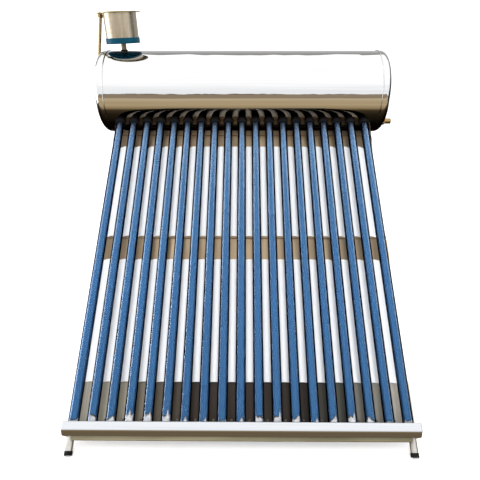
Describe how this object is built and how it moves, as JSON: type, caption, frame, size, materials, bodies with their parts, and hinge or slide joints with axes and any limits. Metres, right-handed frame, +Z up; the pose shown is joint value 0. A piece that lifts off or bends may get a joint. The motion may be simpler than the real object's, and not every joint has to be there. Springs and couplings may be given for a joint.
{
  "type": "solar water heater",
  "caption": "Vacuum-tube solar water heater: round steel tank over a sloping row of glass tubes with reflectors, tail rail, leg frame and small float-valve feeder tank.",
  "frame": {"origin": "centre of the whole heater's footprint box, on the ground under its rubber boots", "axes": "+X along the tank to the right of someone facing the tubes, +Y towards the back of the heater, +Z up"},
  "size_m": [1.7804, 1.6362, 1.9434],
  "materials": {
    "polished_steel": "polished stainless sheet",
    "cap_steel": "polished stainless pressing",
    "inner_steel": "plain stainless",
    "foam": "rigid foam",
    "silicone": "silicone",
    "black_rubber": "matt black",
    "clear_glass": "clear borosilicate glass",
    "absorber_coating": "blue selective coating under glass",
    "getter_silver": "silver mirror",
    "cup_plastic": "moulded",
    "rail_steel": "satin stainless",
    "white_reflector": "white coated sheet",
    "beam_steel": "stainless",
    "frame_steel": "stainless pipe and bar",
    "bolt_steel": "plain",
    "blue_plastic": "blue plastic",
    "feeder_steel": "stainless",
    "lid_steel": "stainless",
    "brass": "machined brass",
    "float_plastic": "hollow float"
  },
  "bodies": {
    "heater": {"outer_shell": "polished_steel", "left_end_cap": "cap_steel", "right_end_cap": "cap_steel", "inner_tank": "inner_steel", "insulation_foam": "foam", "tube_seals": "silicone", "dust_rings": "black_rubber", "absorber_tubes": "absorber_coating", "getter_caps": "getter_silver", "tail_cups": "cup_plastic", "tail_rail": "rail_steel", "rail_end_caps": "rail_steel", "upper_reflector": "white_reflector", "lower_reflector": "white_reflector", "upper_cross_beam": "beam_steel", "middle_cross_beam": "beam_steel", "lower_cross_panel": "beam_steel", "rail_support_bar": "frame_steel", "front_leg_left": "frame_steel", "front_leg_right": "frame_steel", "rear_leg_left": "frame_steel", "rear_leg_right": "frame_steel", "side_bars": "frame_steel", "rear_cross_bars": "frame_steel", "rear_braces": "frame_steel", "tank_saddles": "frame_steel", "foot_boots": "black_rubber", "frame_bolts": "bolt_steel", "feeder_stub": "frame_steel", "stub_gasket": "black_rubber", "feeder_base": "blue_plastic", "feeder_body": "feeder_steel", "feeder_lid": "lid_steel", "float_valve_body": "brass", "float_hinge_pin": "brass", "vent_pipe": "frame_steel", "brass_nuts": "brass", "outlet_nipple": "brass", "glass_tube_01": "clear_glass", "glass_tube_02": "clear_glass", "glass_tube_03": "clear_glass", "glass_tube_04": "clear_glass", "glass_tube_05": "clear_glass", "glass_tube_06": "clear_glass", "glass_tube_07": "clear_glass", "glass_tube_08": "clear_glass", "glass_tube_09": "clear_glass", "glass_tube_10": "clear_glass", "glass_tube_11": "clear_glass", "glass_tube_12": "clear_glass", "glass_tube_13": "clear_glass", "glass_tube_14": "clear_glass", "glass_tube_15": "clear_glass", "glass_tube_16": "clear_glass", "glass_tube_17": "clear_glass", "glass_tube_18": "clear_glass", "glass_tube_19": "clear_glass"},
    "float": {"float_arm": "brass", "float_ball": "float_plastic"},
    "plunger": {"valve_plunger": "brass"}
  },
  "joints": [
    {"name": "float_swing", "type": "hinge", "parent": "heater", "child": "float", "pos_m": [-0.72468, 0.59152, 1.8824], "axis": [-0.9993, 0.004, -0.0382], "range_deg": [0, 35]},
    {"name": "plunger_slide", "type": "slide", "parent": "heater", "child": "plunger", "axis": [0, 0.9945, 0.1045], "range_m": [0, 0.0067]}
  ],
  "couplings": [
    {"joint": "plunger_slide", "follows": "float_swing", "m_per_rad": 0.01083}
  ]
}
